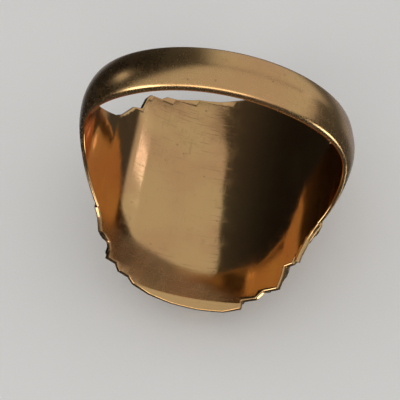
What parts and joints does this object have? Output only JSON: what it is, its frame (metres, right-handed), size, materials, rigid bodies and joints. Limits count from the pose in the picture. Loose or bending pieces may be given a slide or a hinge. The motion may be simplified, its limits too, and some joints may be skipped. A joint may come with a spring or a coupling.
{
  "type": "cocktail ring",
  "caption": "Nugget-style gold cocktail ring: low-domed shank, tapering shoulders, smooth liner with a stepped edge, and a domed head of soldered nuggets.",
  "frame": {"origin": "centre of the finger hole", "axes": "+Z to the back of the shank, +Y along the finger; the head is at -Z and the ring rests on it"},
  "size_m": [0.0192, 0.0177, 0.022],
  "materials": {
    "polished_gold": "polished, fine scratches",
    "nugget_gold": "bright, textured"
  },
  "bodies": {
    "root": {"crown_nugget_01": "nugget_gold", "crown_nugget_02": "nugget_gold", "crown_nugget_03": "nugget_gold", "crown_nugget_04": "nugget_gold", "finger_liner": "polished_gold", "inner_nugget_01": "nugget_gold", "inner_nugget_02": "nugget_gold", "inner_nugget_03": "nugget_gold", "inner_nugget_04": "nugget_gold", "left_shoulder": "polished_gold", "right_shoulder": "polished_gold", "rim_nugget_01": "nugget_gold", "rim_nugget_02": "nugget_gold", "rim_nugget_03": "nugget_gold", "rim_nugget_04": "nugget_gold", "rim_nugget_05": "nugget_gold", "rim_nugget_06": "nugget_gold", "rim_nugget_07": "nugget_gold", "rim_nugget_08": "nugget_gold", "rim_nugget_09": "nugget_gold", "rim_nugget_10": "nugget_gold", "rim_nugget_11": "nugget_gold", "rim_nugget_12": "nugget_gold", "rim_nugget_13": "nugget_gold", "rim_nugget_14": "nugget_gold", "shank_band": "polished_gold"}
  },
  "joints": []
}
